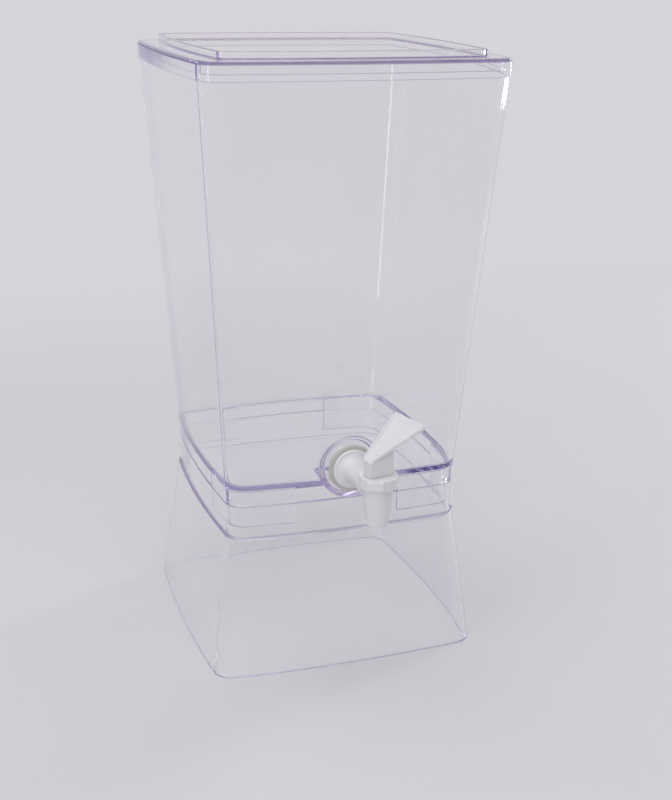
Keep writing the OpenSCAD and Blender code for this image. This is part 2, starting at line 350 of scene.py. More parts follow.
@dataclass(frozen=True)
class Lathe:
    """A place and direction about which shapes are turned."""

    axis: Axis
    origin: Place
    hold: float = 0.1

    def place(self, r: Points, t: Points, angle: Points) -> Points:
        """Points at a distance from the axis, a place along it and an angle about it."""
        x, y, z = self.origin
        a, b = r * np.cos(angle), r * np.sin(angle)
        if self.axis is Axis.FORWARD:
            return np.column_stack([x + a, y - t, z + b])
        return np.column_stack([x + a, y + b, z + t])

    def flat(self, p: Points) -> Points:
        """Distance from the axis and place along it, for points in the part's frame."""
        q = p - np.array(self.origin)
        if self.axis is Axis.FORWARD:
            return np.column_stack([np.hypot(q[:, 0], q[:, 2]), -q[:, 1]])
        return np.column_stack([np.hypot(q[:, 0], q[:, 1]), q[:, 2]])

    def turn(self, name: str, profile: Sequence[Corner], solid: bool = False) -> bpy.types.Object:
        """Turns a profile into a mesh.

        Args:
            name: Name of the object.
            profile: Corners of the section. A ring's lie off the axis and close on themselves, and
                the first and last of a solid's lie on the axis.
            solid: Whether it is a solid, with flat ends.

        Returns:
            The new object.
        """
        line = round_corners(
            [(c.r, c.t) for c in profile],
            [c.fillet for c in profile],
            not solid,
            0.0 if solid else self.hold,
        )
        if solid:
            line = line[1:-1]
        n = len(line)
        r, t = (np.array([p[k] for p in line]) for k in (0, 1))
        angles = 2 * math.pi * np.arange(TURN_STEPS) / TURN_STEPS
        points = np.concatenate([self.place(r, t, np.full(n, a)) for a in angles])
        across = n - 1 if solid else n
        faces: list[Sequence[int]] = []
        for i in range(TURN_STEPS):
            k = (i + 1) % TURN_STEPS
            faces.extend(
                (i * n + j, i * n + (j + 1) % n, k * n + (j + 1) % n, k * n + j) for j in range(across)
            )
        if solid:
            faces.append([i * n for i in range(TURN_STEPS)])
            faces.append([i * n + n - 1 for i in range(TURN_STEPS)])
        return mesh_object(name, points, faces)


def rod(
    radius: float, low: float, high: float, ends: Sequence[float] = (0, 0), axis: float = 0.0
) -> list[Corner]:
    """Section of a plain rod.

    Args:
        radius: Its radius.
        low: Where it starts along the axis.
        high: Where it ends.
        ends: Rounding of the two ends.
        axis: Distance from the axis at which the section starts.

    Returns:
        The section's corners.
    """
    return [
        Corner(axis, low),
        Corner(radius, low, ends[0]),
        Corner(radius, high, ends[1]),
        Corner(axis, high),
    ]


# Moulded shapes, given by their distance from the surface


def polygon_distance(p: Points, corners: Points) -> Points:
    """Signed distance from points to a polygon in a plane, negative inside.

    Args:
        p: Points, one row each.
        corners: The polygon's corners in order.

    Returns:
        One distance for each point.
    """
    nearest = np.full(len(p), np.inf)
    inside = np.zeros(len(p), bool)
    for a, b in zip(corners, np.roll(corners, -1, axis=0)):
        edge, offset = b - a, p - a
        share = np.clip(offset @ edge / max(edge @ edge, 1e-12), 0, 1)
        gap = offset - share[:, None] * edge
        nearest = np.minimum(nearest, np.einsum("ij,ij->i", gap, gap))
        crosses = (a[1] <= p[:, 1]) != (b[1] <= p[:, 1])
        left = edge[0] * offset[:, 1] > edge[1] * offset[:, 0]
        inside ^= crosses & (left == (b[1] > a[1]))
    return np.where(inside, -1, 1) * np.sqrt(nearest)


def turned(lathe: Lathe, profile: Sequence[Corner]) -> Field:
    """A turned solid as a distance.

    Args:
        lathe: Place and direction of its axis.
        profile: Corners of the section, with their rounding.

    Returns:
        A function from points to signed distances.
    """
    line = round_corners([(c.r, c.t) for c in profile], [c.fillet for c in profile], True)
    corners = np.array([q[:2] for q in line])
    return lambda p: polygon_distance(lathe.flat(p), corners)


def blend_join(a: Points, b: Points, width: float | Points) -> Points:
    """Joins two distances with a fillet of about that width."""
    near = np.maximum(width - np.abs(a - b), 0) / width
    return np.minimum(a, b) - near**2 * width / 4


def blend_cut(a: Points, b: Points, width: float) -> Points:
    """Takes the second shape from the first, with the edge eased over about that width."""
    return -blend_join(-a, b, width)


def skin(
    name: str, shape: Field, low: Sequence[float], high: Sequence[float], pitch: float
) -> bpy.types.Object:
    """Meshes the surface of a moulded shape and pulls the mesh onto it.

    Args:
        name: Name of the object.
        shape: Signed distance of the shape, in millimetres.
        low: Lowest corner of a box that holds it.
        high: Highest corner of that box.
        pitch: Size of the mesh's faces.

    Returns:
        The new object, shaded smooth.
    """
    margin = 1.5 * pitch
    low_corner = np.array(low, float) - margin
    counts = np.ceil((np.array(high, float) + margin - low_corner) / pitch).astype(int) + 1
    grid = np.stack(np.meshgrid(*[np.arange(c) for c in counts], indexing="ij"), -1).reshape(-1, 3)
    values = shape(low_corner + pitch * grid).reshape(counts)
    cells = counts - 1

    def corner(offset: Sequence[int]) -> Points:
        """Values at one corner of every cell."""
        i, j, k = offset
        return values[i : i + cells[0], j : j + cells[1], k : k + cells[2]]

    total, crossings = np.zeros((*cells, 3)), np.zeros(cells)
    for axis in range(3):
        for one in (0, 1):
            for two in (0, 1):
                start = np.insert([one, two], axis, 0)
                end = np.insert([one, two], axis, 1)
                a, b = corner(start), corner(end)
                crossed = (a < 0) != (b < 0)
                share = np.where(crossed, a / np.where(crossed, a - b, 1), 0)
                total += crossed[..., None] * start
                total[..., axis] += share
                crossings += crossed
    used = crossings > 0
    number = np.full(cells, -1)
    number[used] = np.arange(used.sum())
    points = low_corner + pitch * (np.argwhere(used) + total[used] / crossings[used][:, None])

    faces = []
    for axis in range(3):
        one, two = (axis + 1) % 3, (axis + 2) % 3
        here = [slice(1, -1)] * 3
        here[axis] = slice(0, -1)
        there = list(here)
        there[axis] = slice(1, None)
        rising = (values[tuple(here)] < 0).astype(int) - (values[tuple(there)] < 0)
        base = np.argwhere(rising != 0) + np.where(np.arange(3) == axis, 0, 1)
        sign = rising[rising != 0]
        back_one, back_two = np.eye(3, dtype=int)[one], np.eye(3, dtype=int)[two]
        loop = [base - back_one - back_two, base - back_two, base, base - back_one]
        quad = np.stack([number[tuple(c.T)] for c in loop], 1)
        faces.append(np.where(sign[:, None] > 0, quad, quad[:, ::-1]))

    step, rounds, least_slope = 0.02, 4, 0.2
    for _ in range(rounds):
        slope = np.stack(
            [(shape(points + step * e) - shape(points - step * e)) / (2 * step) for e in np.eye(3)], 1
        )
        steep = np.maximum(np.einsum("ij,ij->i", slope, slope), least_slope)
        points = points - (shape(points) / steep)[:, None] * slope
    made = mesh_object(name, points, np.concatenate(faces))
    made.data.shade_smooth()
    return made


# Finishes


class Blend(Enum):
    """What a Mix node mixes: its data type, the number of its first input, and of its result."""

    NUMBER = ("FLOAT", 2, 0)
    COLOR = ("RGBA", 6, 2)


class NodeTree:
    """A small helper that adds nodes to a tree and links them."""

    def __init__(self, tree: bpy.types.NodeTree) -> None:
        """Keeps the tree."""
        self.tree = tree

    @classmethod
    def group(cls, name: str, kind: str, inputs: dict[str, str], outputs: dict[str, str]) -> "NodeTree":
        """Starts a node group with named sockets.

        Args:
            name: Name of the group.
            kind: Its type.
            inputs: Kind of each input, by its name.
            outputs: Kind of each output, by its name.

        Returns:
            The helper for the new group.
        """
        tree = bpy.data.node_groups.new(name, kind)
        for side, sockets in (("INPUT", inputs), ("OUTPUT", outputs)):
            for label, socket in sockets.items():
                tree.interface.new_socket(label, in_out=side, socket_type=f"NodeSocket{socket}")
        return cls(tree)

    def add(self, kind: str, **values: object) -> bpy.types.Node:
        """Adds a node.

        Args:
            kind: The node's type.
            values: Its properties by name, or its inputs by name with _ for a space. An input takes
                a plain value or another node's socket.

        Returns:
            The new node.
        """
        node = self.tree.nodes.new(kind)
        for key, value in values.items():
            if hasattr(node, key):
                setattr(node, key, value)
            else:
                self.feed(node.inputs[key.replace("_", " ")], value)
        return node

    def feed(self, into: bpy.types.NodeSocket, value: object) -> None:
        """Links a socket to an input, or sets the input to a plain value."""
        if isinstance(value, bpy.types.NodeSocket):
            self.tree.links.new(value, into)
        else:
            into.default_value = value

    def math(self, operation: str, *terms: bpy.types.NodeSocket | float) -> bpy.types.NodeSocket:
        """Adds a Math node on sockets or numbers, and returns its result."""
        node = self.add("ShaderNodeMath", operation=operation)
        for into, term in zip(node.inputs, terms):
            self.feed(into, term)
        return node.outputs["Value"]

    def mix(
        self, blend: Blend, share: bpy.types.NodeSocket, one: object, two: object
    ) -> bpy.types.NodeSocket:
        """Mixes two colours or numbers by a share of the second, and returns the result."""
        kind, first, result = blend.value
        node = self.add("ShaderNodeMix", data_type=kind, Factor=share)
        self.feed(node.inputs[first], one)
        self.feed(node.inputs[first + 1], two)
        return node.outputs[result]

    def either(
        self, share: bpy.types.NodeSocket, one: bpy.types.NodeSocket, two: bpy.types.NodeSocket
    ) -> bpy.types.NodeSocket:
        """Mixes two shaders by a share of the second, and returns the result."""
        node = self.add("ShaderNodeMixShader", Fac=share)
        self.feed(node.inputs[1], one)
        self.feed(node.inputs[2], two)
        return node.outputs["Shader"]


class BuiltOnce:
    """A node tree that is built when it is first asked for."""

    _tree: bpy.types.NodeTree | None = None

    @classmethod
    def tree(cls) -> bpy.types.NodeTree:
        """The tree, built once."""
        if cls._tree is None:
            cls._tree = cls._build()
        return cls._tree

    @staticmethod
    def _build() -> bpy.types.NodeTree:
        """Builds the tree; each kind of tree has its own way."""
        raise NotImplementedError


class MouldedSurface(BuiltOnce):
    """Shader group with the slight waves, flow and handling marks of moulded plastic."""

    @staticmethod
    def _build() -> bpy.types.NodeTree:
        """Builds the group.

        Returns:
            A node group that puts out a mottle, a mark mask and a height.
        """
        nodes = NodeTree.group(
            "moulded_surface",
            "ShaderNodeTree",
            {"Grain Scale": "Float", "Wave Scale": "Float", "Mark Scale": "Float"},
            {"Mottle": "Float", "Marks": "Float", "Height": "Float"},
        )
        given = nodes.add("NodeGroupInput").outputs
        place = nodes.add("ShaderNodeTexCoord").outputs["Object"]
        flow = nodes.add("ShaderNodeMapping", Vector=place, Scale=(1, 1, 0.18), Rotation=(0.3, 0.2, 0.5))
        grain, waves, marks = (
            nodes.add(
                "ShaderNodeTexNoise",
                Vector=where,
                Scale=given[scale],
                Detail=detail,
                Roughness=roughness,
                Distortion=distortion,
            ).outputs["Fac"]
            for where, scale, detail, roughness, distortion in (
                (place, "Grain Scale", 3.0, 0.6, 0.0),
                (place, "Wave Scale", 1.0, 0.4, 0.0),
                (flow.outputs["Vector"], "Mark Scale", 6.0, 0.7, 0.6),
            )
        )
        sharpen = nodes.add("ShaderNodeMapRange", Value=marks, From_Min=0.56, From_Max=0.72)
        height = nodes.math("MULTIPLY_ADD", grain, 0.06, waves)
        nodes.add("NodeGroupOutput", Mottle=waves, Marks=sharpen.outputs["Result"], Height=height)
        return nodes.tree


class SumpShadeMask(BuiltOnce):
    """Shader group that masks the lower part of a ring about a line along Y, for the sump's painted shade.
    """

    @staticmethod
    def _build() -> bpy.types.NodeTree:
        """Builds the group.

        Returns:
            A node group that puts out 1 in the lower half of the ring, and fades out upwards.
        """
        nodes = NodeTree.group(
            "sump_shade_mask",
            "ShaderNodeTree",
            {"Centre": "Vector", "Inner": "Float", "Outer": "Float", "Depth": "Float"},
            {"Mask": "Float"},
        )
        given = nodes.add("NodeGroupInput").outputs
        place = nodes.add("ShaderNodeTexCoord").outputs["Object"]
        offset = nodes.add("ShaderNodeVectorMath", operation="SUBTRACT")
        nodes.feed(offset.inputs[0], place)
        nodes.feed(offset.inputs[1], given["Centre"])
        split = nodes.add("ShaderNodeSeparateXYZ", Vector=offset.outputs["Vector"]).outputs
        across = nodes.add("ShaderNodeCombineXYZ", X=split["X"], Z=split["Z"]).outputs["Vector"]
        radius = nodes.add("ShaderNodeVectorMath", operation="LENGTH", Vector=across).outputs["Value"]
        low = nodes.add(
            "ShaderNodeMapRange",
            interpolation_type="SMOOTHSTEP",
            Value=split["Z"],
            From_Min=-0.012,
            From_Max=0.004,
            To_Min=1.0,
            To_Max=0.0,
        )
        mask = low.outputs["Result"]
        for value, test, limit in (
            (radius, "GREATER_THAN", "Inner"),
            (radius, "LESS_THAN", "Outer"),
            (split["Y"], "LESS_THAN", "Depth"),
        ):
            mask = nodes.math("MULTIPLY", mask, nodes.math(test, value, given[limit]))
        nodes.add("NodeGroupOutput", Mask=mask)
        return nodes.tree


@dataclass(frozen=True)
class SumpShadeRing:
    """A ring of painted shade: darker violet where the wall of the sump is seen on edge.

    Attributes:
        centre: Middle of the ring's front, in millimetres.
        inner: Inside radius.
        outer: Outside radius.
        depth: Length along Y.
        color: Colour of the painted shade.
    """

    centre: Place
    inner: float
    outer: float
    depth: float
    color: Color

    def mask(self, nodes: NodeTree) -> bpy.types.NodeSocket:
        """Adds the ring's mask to a material, and returns its socket."""
        added = nodes.add(
            "ShaderNodeGroup",
            node_tree=SumpShadeMask.tree(),
            Centre=Vector(self.centre) * MM,
            Inner=self.inner * MM,
            Outer=self.outer * MM,
            Depth=self.depth * MM,
        )
        return added.outputs["Mask"]


@dataclass(frozen=True)
class Finish:
    """A finish: its colours, gloss and the marks on it.

    Attributes:
        name: Name of the material.
        color: Main colour.
        mottle_color: Colour that the mottle turns it towards.
        roughness: Gloss of the clean surface.
        marked_roughness: Gloss where it is marked.
        bump: Strength of the surface relief.
        bump_distance: Depth of the relief, in metres.
        grain: Scale of the fine grain.
        waves: Scale of the slow waves.
        marks: Scale of the handling marks.
        metallic: 1 for metal.
        transmission: 1 for clear plastic.
        ior: Index of refraction.
        subsurface: Share of light that spreads under the surface.
        subsurface_radius: How far each colour spreads, as a share of the scale.
        subsurface_scale: How far it spreads, in metres.
        tint: Colour that long ways through the plastic take on, or none.
        tint_density: How fast they take it on.
        shadow: Share of lamp light that one face of the clear plastic lets through.
        deepest: Number of bounces after which light counts as caught in the clear plastic.
        glow: Colour of the painted glow: an emission that caught rays end on, in place of the
        light that they would bring out.
        edge_shade_color: Colour of the painted edge shade, which stands in for the darker violet
        that the edges show through refraction and dye, or none.
        edge_roughness: Gloss of the edges.
        ring: A ring of painted shade round the sump, or none.
    """

    name: str
    color: Color
    mottle_color: Color
    roughness: float
    marked_roughness: float
    bump: float
    bump_distance: float
    grain: float
    waves: float
    marks: float
    metallic: float = 0.0
    transmission: float = 0.0
    ior: float = 1.5
    subsurface: float = 0.0
    subsurface_radius: Color = (1.0, 0.95, 0.9)
    subsurface_scale: float = 0.0015
    tint: Color | None = None
    tint_density: float = 0.0
    shadow: Color = (0.83, 0.828, 0.84)
    deepest: int = 32
    # Colour of the painted glow on caught rays
    glow: Color = (0.46, 0.41, 0.58)
    # Colour of the painted edge shade, or none
    edge_shade_color: Color | None = None
    edge_roughness: float = 0.2
    ring: SumpShadeRing | None = None

    def material(self) -> bpy.types.Material:
        """Builds the material, or returns the one already built."""
        found = bpy.data.materials.get(self.name)
        if found is not None:
            return found
        made = bpy.data.materials.new(self.name)
        made.use_nodes = True
        made.node_tree.nodes.clear()
        nodes = NodeTree(made.node_tree)
        out = nodes.add("ShaderNodeOutputMaterial").inputs
        surface = self._surface(nodes)
        if self.tint is None:
            nodes.feed(out["Surface"], surface)
        else:
            nodes.feed(out["Surface"], self._clear(nodes, surface))
            absorb = nodes.add(
                "ShaderNodeVolumeAbsorption", Color=(*self.tint, 1), Density=self.tint_density
            )
            nodes.feed(out["Volume"], absorb.outputs["Volume"])
        return made

    def _surface(self, nodes: NodeTree) -> bpy.types.NodeSocket:
        """Adds the surface: mottle, marks, painted edge and sump shade, relief. Returns its shader."""
        moulded = nodes.add(
            "ShaderNodeGroup",
            node_tree=MouldedSurface.tree(),
            Grain_Scale=self.grain,
            Wave_Scale=self.waves,
            Mark_Scale=self.marks,
        ).outputs
        color = nodes.mix(Blend.COLOR, moulded["Mottle"], (*self.color, 1), (*self.mottle_color, 1))
        gloss = nodes.add(
            "ShaderNodeMapRange",
            Value=moulded["Marks"],
            To_Min=self.roughness,
            To_Max=self.marked_roughness,
        ).outputs["Result"]
        relief = nodes.add(
            "ShaderNodeBump", Strength=self.bump, Distance=self.bump_distance, Height=moulded["Height"]
        )
        # Painted shade: tightly bent edges turn darker violet and rougher, standing in for refraction and
        # dye seen there
        if self.edge_shade_color is not None:
            edge = nodes.add("ShaderNodeAttribute", attribute_name=EDGE_SHADE_LAYER).outputs["Fac"]
            color = nodes.mix(Blend.COLOR, edge, color, (*self.edge_shade_color, 1))
            gloss = nodes.mix(Blend.NUMBER, edge, gloss, self.edge_roughness)
        # Painted shade: the lower ring round the sump turns darker violet, where its wall is seen on edge
        if self.ring is not None:
            color = nodes.mix(Blend.COLOR, self.ring.mask(nodes), color, (*self.ring.color, 1))
        spread = {}
        if self.subsurface:
            spread = {
                "Subsurface_Weight": self.subsurface,
                "Subsurface_Radius": self.subsurface_radius,
                "Subsurface_Scale": self.subsurface_scale,
            }
        surface = nodes.add(
            "ShaderNodeBsdfPrincipled",
            Base_Color=color,
            Roughness=gloss,
            Normal=relief.outputs["Normal"],
            Metallic=self.metallic,
            Transmission_Weight=self.transmission,
            IOR=self.ior,
            **spread,
        )
        return surface.outputs["BSDF"]

    def _clear(self, nodes: NodeTree, surface: bpy.types.NodeSocket) -> bpy.types.NodeSocket:
        """Lets lamp light through the surface, ends caught rays on a painted glow, and returns its shader.
        """
        path = nodes.add("ShaderNodeLightPath").outputs
        caught = nodes.math("GREATER_THAN", path["Ray Depth"], self.deepest)
        # Painted glow: caught rays end on an emission instead of going dark
        glow = nodes.add("ShaderNodeEmission", Color=(*self.glow, 1)).outputs["Emission"]
        through = nodes.add("ShaderNodeBsdfTransparent", Color=(*self.shadow, 1)).outputs["BSDF"]
        return nodes.either(path["Is Shadow Ray"], nodes.either(caught, surface, glow), through)


CLEAR = Finish(
    name="clear_violet_plastic",
    color=(1.0, 1.0, 1.0),
    mottle_color=(0.985, 0.983, 0.995),
    roughness=0.012,
    marked_roughness=0.05,
    bump=0.02,
    bump_distance=0.0008,
    grain=700.0,
    waves=9.0,
    marks=45.0,
    transmission=1.0,
    ior=1.52,
    tint=(0.43, 0.36, 0.68),
    tint_density=7.0,
    # Colour of the painted edge shade
    edge_shade_color=(0.46, 0.40, 0.57),
)
WHITE = Finish(
    name="white_moulded_plastic",
    color=(0.84, 0.84, 0.86),
    mottle_color=(0.80, 0.80, 0.825),
    roughness=0.3,
    marked_roughness=0.42,
    bump=0.12,
    bump_distance=0.0003,
    grain=2600.0,
    waves=120.0,
    marks=260.0,
    ior=1.49,
    subsurface=0.12,
)
SILICONE = Finish(
    name="translucent_grey_silicone",
    color=(0.62, 0.61, 0.57),
    mottle_color=(0.56, 0.555, 0.52),
    roughness=0.34,
    marked_roughness=0.5,
    bump=0.15,
    bump_distance=0.0003,
    grain=1800.0,
    waves=160.0,
    marks=200.0,
    ior=1.42,
    subsurface=0.35,
)
STEEL = Finish(
    name="drawn_spring_steel",
    color=(0.62, 0.63, 0.65),
    mottle_color=(0.52, 0.53, 0.55),
    roughness=0.2,
    marked_roughness=0.4,
    bump=0.2,
    bump_distance=0.0001,
    grain=5200.0,
    waves=500.0,
    marks=900.0,
    metallic=1.0,
)


def mark_edges(obj: bpy.types.Object, soft: float = 0.3, tight: float = 1.3) -> None:
    """Stores how tightly each face bends, as the mask of the painted edge shade.

    Args:
        obj: The object, already shaded.
        soft: Bend, in radians for each millimetre, at which the mark starts.
        tight: Bend at which it is full.
    """
    mesh = obj.data
    count, total = len(mesh.polygons), len(mesh.loops)
    points = np.empty((len(mesh.vertices), 3), np.float32)
    normals = np.empty((total, 3), np.float32)
    corner, start, sides = np.empty(total, np.int32), *np.empty((2, count), np.int32)
    area = np.empty(count, np.float32)
    mesh.vertices.foreach_get("co", points.ravel())
    mesh.corner_normals.foreach_get("vector", normals.ravel())
    mesh.loops.foreach_get("vertex_index", corner)
    mesh.polygons.foreach_get("loop_start", start)
    mesh.polygons.foreach_get("loop_total", sides)
    mesh.polygons.foreach_get("area", area)
    following = np.arange(1, total + 1)
    following[start + sides - 1] = start
    around = np.add.reduceat(np.linalg.norm(points[corner[following]] - points[corner], axis=1), start)
    turned_by = np.linalg.norm(normals - np.repeat(normals[start], sides, axis=0), axis=1)
    width = np.maximum(2 * area / np.maximum(around, 1e-9) / MM, 0.05)
    bend = np.maximum.reduceat(turned_by, start) / width
    layer = mesh.attributes.new(EDGE_SHADE_LAYER, "FLOAT", "FACE")
    layer.data.foreach_set("value", np.clip((bend - soft) / (tight - soft), 0, 1))


def dress(obj: bpy.types.Object, finish: Finish) -> None:
    """Gives an object one finish.

    Args:
        obj: The object.
        finish: Its finish.
    """
    # Finishes with a painted edge shade get its mask
    if finish.edge_shade_color is not None:
        mark_edges(obj)
    obj.data.materials.clear()
    obj.data.materials.append(finish.material())


def place_piece(
    obj: bpy.types.Object, finish: Finish, body: str, nodes: Sequence[str] = ()
) -> None:
    """Dresses a finished piece, hangs it on its body and logs it.

    Args:
        obj: The piece.
        finish: Its finish.
        body: Body that it moves with.
        nodes: CAD nodes that it stands for.
    """
    dress(obj, finish)
    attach(obj, body)
    if nodes:
        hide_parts(*nodes)
    LOG.info("%s: %d faces on %s", obj.name, len(obj.data.polygons), body)


# Sub-assemblies

PLAN = Plan()

# Angle between faces, in degrees, past which an edge of the clear walls stays sharp
SHELL_ANGLE = 30.0


@dataclass
class Stand:
    """The flared skirt with the upright collar that carries the tank."""

    foot: float = 112.0
    shoulder: float = 98.35
    collar: float = 96.95
    wall: float = 2.6
    shoulder_height: float = 112.0
    top: float = 137.0
    corner: float = 16.0

    def build(self) -> None:
        """Builds the stand as one closed wall with rounded edges."""
        inside = self.corner - self.wall
        under, top = self.shoulder_height - self.wall, self.top - CLEARANCE
        section = [
            Station(self.foot, self.corner, 0.0, 0.7),
            Station(self.shoulder, self.corner, self.shoulder_height, 0.7),
            Station(self.collar, self.corner, self.shoulder_height, 0.5),
            Station(self.collar, self.corner, top, 0.7),
            Station(self.collar - self.wall, inside, top, 0.5),
            Station(self.collar - self.wall, inside, under, 1.0),
            Station(self.shoulder - self.wall, inside, under, 0.5),
            Station(self.foot - self.wall, inside, 0.0, 0.7),
        ]
        made = shade(PLAN.shell("stand_shell", section, closed=True), SHELL_ANGLE)
        # The stand gets a paler painted edge shade
        finish = replace(CLEAR, name="clear_stand", tint_density=5.0, edge_shade_color=(0.66, 0.62, 0.73))
        place_piece(made, finish, "stand", ["stand"])


@dataclass
class Tank:
    """The tapered tank with its plinth, corner feet and the round tap seat with its sump."""

    floor: float = 97.65
    mouth: float = 119.0
    rim: float = 119.6
    wall: float = 3.0
    corner: float = 16.0
    floor_height: float = 149.0
    floor_thickness: float = 3.8
    floor_edge: float = 0.6
    rim_base: float = 453.3
    rim_top: float = 464.4
    plinth: float = 96.95
    plinth_wall: float = 2.6
    plinth_base: float = 137.0
    plinth_gap: float = 29.0
    foot_outer: float = 93.85
    foot_wall: float = 2.2
    foot_base: float = 119.0
    foot_start: float = 42.0
    overlap: float = 0.5
    seat_radius: float = 25.0
    sump_depth: float = 36.0
    hole_radius: float = 8.2
    ring_depth: float = 6.0
    ring_spread: float = 0.2
    # Colour of the painted shade in the ring round the sump
    sump_shade_color: Color = (0.47, 0.41, 0.64)
    block_reach: float = 130.0
    block_start: float = 60.0
    block_margin: float = 5.0

    def wall_half(self, z: float) -> float:
        """Half the outside width of the wall at a height."""
        rise = (z - self.floor_height) / (self.rim_base - self.floor_height)
        return self.floor + (self.mouth - self.floor) * rise

    def _outside(self) -> bpy.types.Object:
        """The solid outer form."""
        edge, cap, lip = self.floor_edge, 2.0, 1.4
        low, radius = self.floor - edge, self.corner - edge
        top = self.rim_top - CLEARANCE
        section = [
            Station(low - cap, radius - cap, self.floor_height),
            Station(low, radius, self.floor_height, 0.5),
            Station(self.floor, self.corner, self.floor_height + edge, 0.5),
            Station(self.mouth, self.corner, self.rim_base, 0.4),
            Station(self.rim, self.corner, self.rim_base, 0.25),
            Station(self.rim, self.corner, top, 0.6),
            Station(self.rim - lip, self.corner - lip, top),
        ]
        return PLAN.shell("tank_shell", section, closed=False)

    def _cavity(self) -> bpy.types.Object:
        """The inside, with a rounded floor and an eased mouth."""
        inside, inset, ease = self.corner - self.wall, 6.0, 0.7
        base = self.floor_height + self.floor_thickness
        low, high = self.wall_half(base) - self.wall, self.wall_half(self.rim_top) - self.wall
        section = [
            Station(low - inset, inside - inset, base),
            Station(low, inside, base, 3.5),
            Station(high, inside, self.rim_top - 0.6, 0.8),
            Station(high + ease, inside + ease, self.rim_top + 0.4),
            Station(high + ease, inside + ease, self.rim_top + 3),
        ]
        return PLAN.shell("cavity", section, closed=False)

    def _plinth(self) -> bpy.types.Object:
        """The wall under the floor, open at the front for the sump."""
        inside = self.corner - self.plinth_wall
        top, base = self.floor_height + self.overlap, self.plinth_base + CLEARANCE
        section = [
            Station(self.plinth, self.corner, base, 0.5),
            Station(self.plinth, self.corner, top),
            Station(self.plinth - self.plinth_wall, inside, top),
            Station(self.plinth - self.plinth_wall, inside, base, 0.5),
        ]
        ring = PLAN.shell("plinth", section, closed=True)
        gap = self._block(
            "plinth_gap",
            (-self.plinth_gap, -self.block_reach, base - self.block_margin),
            (self.plinth_gap, -self.block_start, top + self.block_margin),
        )
        return carve(ring, [gap], "DIFFERENCE")

    def _feet(self) -> bpy.types.Object:
        """The four corner walls that drop inside the collar."""
        top, step = self.floor_height + self.overlap, self.plinth_base + 2 * CLEARANCE
        radius = self.corner - self.plinth_wall
        inner = self.foot_outer - self.foot_wall
        outer = self.plinth - self.plinth_wall / 2
        section = [
            Station(self.foot_outer, radius, self.foot_base, 0.6),
            Station(self.foot_outer, radius, step),
            Station(outer, radius + outer - self.foot_outer, step),
            Station(outer, radius + outer - self.foot_outer, top),
            Station(inner, radius - self.foot_wall, top),
            Station(inner, radius - self.foot_wall, self.foot_base, 0.6),
        ]
        ring = PLAN.shell("corner_feet", section, closed=True)
        low, high = self.foot_base - self.block_margin, top + self.block_margin
        bars = [
            self._block(name, (-x, -y, low), (x, y, high))
            for name, x, y in (
                ("bar_x", self.block_reach, self.foot_start),
                ("bar_y", self.foot_start, self.block_reach),
            )
        ]
        return carve(ring, bars, "DIFFERENCE")

    @staticmethod
    def _block(name: str, low: Sequence[float], high: Sequence[float]) -> bpy.types.Object:
        """A cutting block between two corners."""
        x, y, z = zip(low, high)
        points = np.array([(x[i], y[j], z[k]) for i in (0, 1) for j in (0, 1) for k in (0, 1)])
        faces = [(0, 1, 3, 2), (4, 6, 7, 5), (0, 4, 5, 1), (2, 3, 7, 6), (0, 2, 6, 4), (1, 5, 7, 3)]
        return mesh_object(name, points, faces)

    def build(self, seat: Lathe) -> None:
        """Builds the tank.

        Args:
            seat: The tap's axis, from the middle of the seat.
        """
        shell = self._outside()
        back, hollow, past = -self.sump_depth, self.seat_radius - self.wall, 2.0
        drum, sump, hole = (
            seat.turn(name, section, solid=True)
            for name, section in (
                ("tap_seat", rod(self.seat_radius, back, 0, (2.0, 1.2))),
                ("sump", rod(hollow, self.wall + back, -self.wall, (2.0, 2.0))),
                ("tap_hole", rod(self.hole_radius, -self.wall - past, past)),
            )
        )
        carve(shell, [self._plinth(), self._feet(), drum], "UNION")
        carve(shell, [self._cavity(), sump, hole], "DIFFERENCE")
        # Painted shade on the lower ring round the sump
        ring = SumpShadeRing(
            centre=seat.origin,
            inner=hollow - self.ring_spread,
            outer=self.seat_radius + self.ring_spread,
            depth=self.ring_depth,
            color=self.sump_shade_color,
        )
        finish = replace(CLEAR, name="clear_tank", ring=ring)
        place_piece(shade(shell, SHELL_ANGLE), finish, "tank", ["tank"])


@dataclass
class Lid:
    """The flat lid with its raised frame and the plug skirt that keeps it in place."""

    flange: float = 119.0
    corner: float = 16.0
    base: float = 464.4
    thickness: float = 2.2
    frame: float = 104.2
    frame_wall: float = 2.4
    frame_radius: float = 5.0
    frame_height: float = 5.4
    plug: float = 115.79
    plug_radius: float = 13.0
    plug_wall: float = 2.0
    plug_depth: float = 7.0
    cap: float = 12.0

    def build(self) -> None:
        """Builds the lid as one closed form with rounded edges."""
        base, top = self.base + CLEARANCE, self.base + self.thickness
        low, crest = self.base - self.plug_depth, top + self.frame_height
        frame_in, plug_in = self.frame - self.frame_wall, self.plug - self.plug_wall
        plug_corner, frame_corner = self.plug_radius - self.plug_wall, self.frame_radius - self.frame_wall
        section = [
            Station(plug_in - self.cap, plug_corner, base),
            Station(plug_in, plug_corner, base, 0.6),
            Station(plug_in, plug_corner, low, 0.5),
            Station(self.plug, self.plug_radius, low, 0.5),
            Station(self.plug, self.plug_radius, base, 0.3),
            Station(self.flange, self.corner, base, 0.6),
            Station(self.flange, self.corner, top, 0.9),
            Station(self.frame, self.frame_radius, top, 0.9),
            Station(self.frame, self.frame_radius, crest, 0.6),
            Station(frame_in, frame_corner, crest, 0.6),
            Station(frame_in, frame_corner, top, 0.9),
            Station(frame_in - self.cap, 2.0, top),
        ]
        made = shade(PLAN.shell("lid_shell", section, closed=False), SHELL_ANGLE)
        # The lid gets a paler painted edge shade
        finish = replace(CLEAR, name="clear_lid", tint_density=5.0, edge_shade_color=(0.60, 0.56, 0.65))
        place_piece(made, finish, "lid", ["lid"])


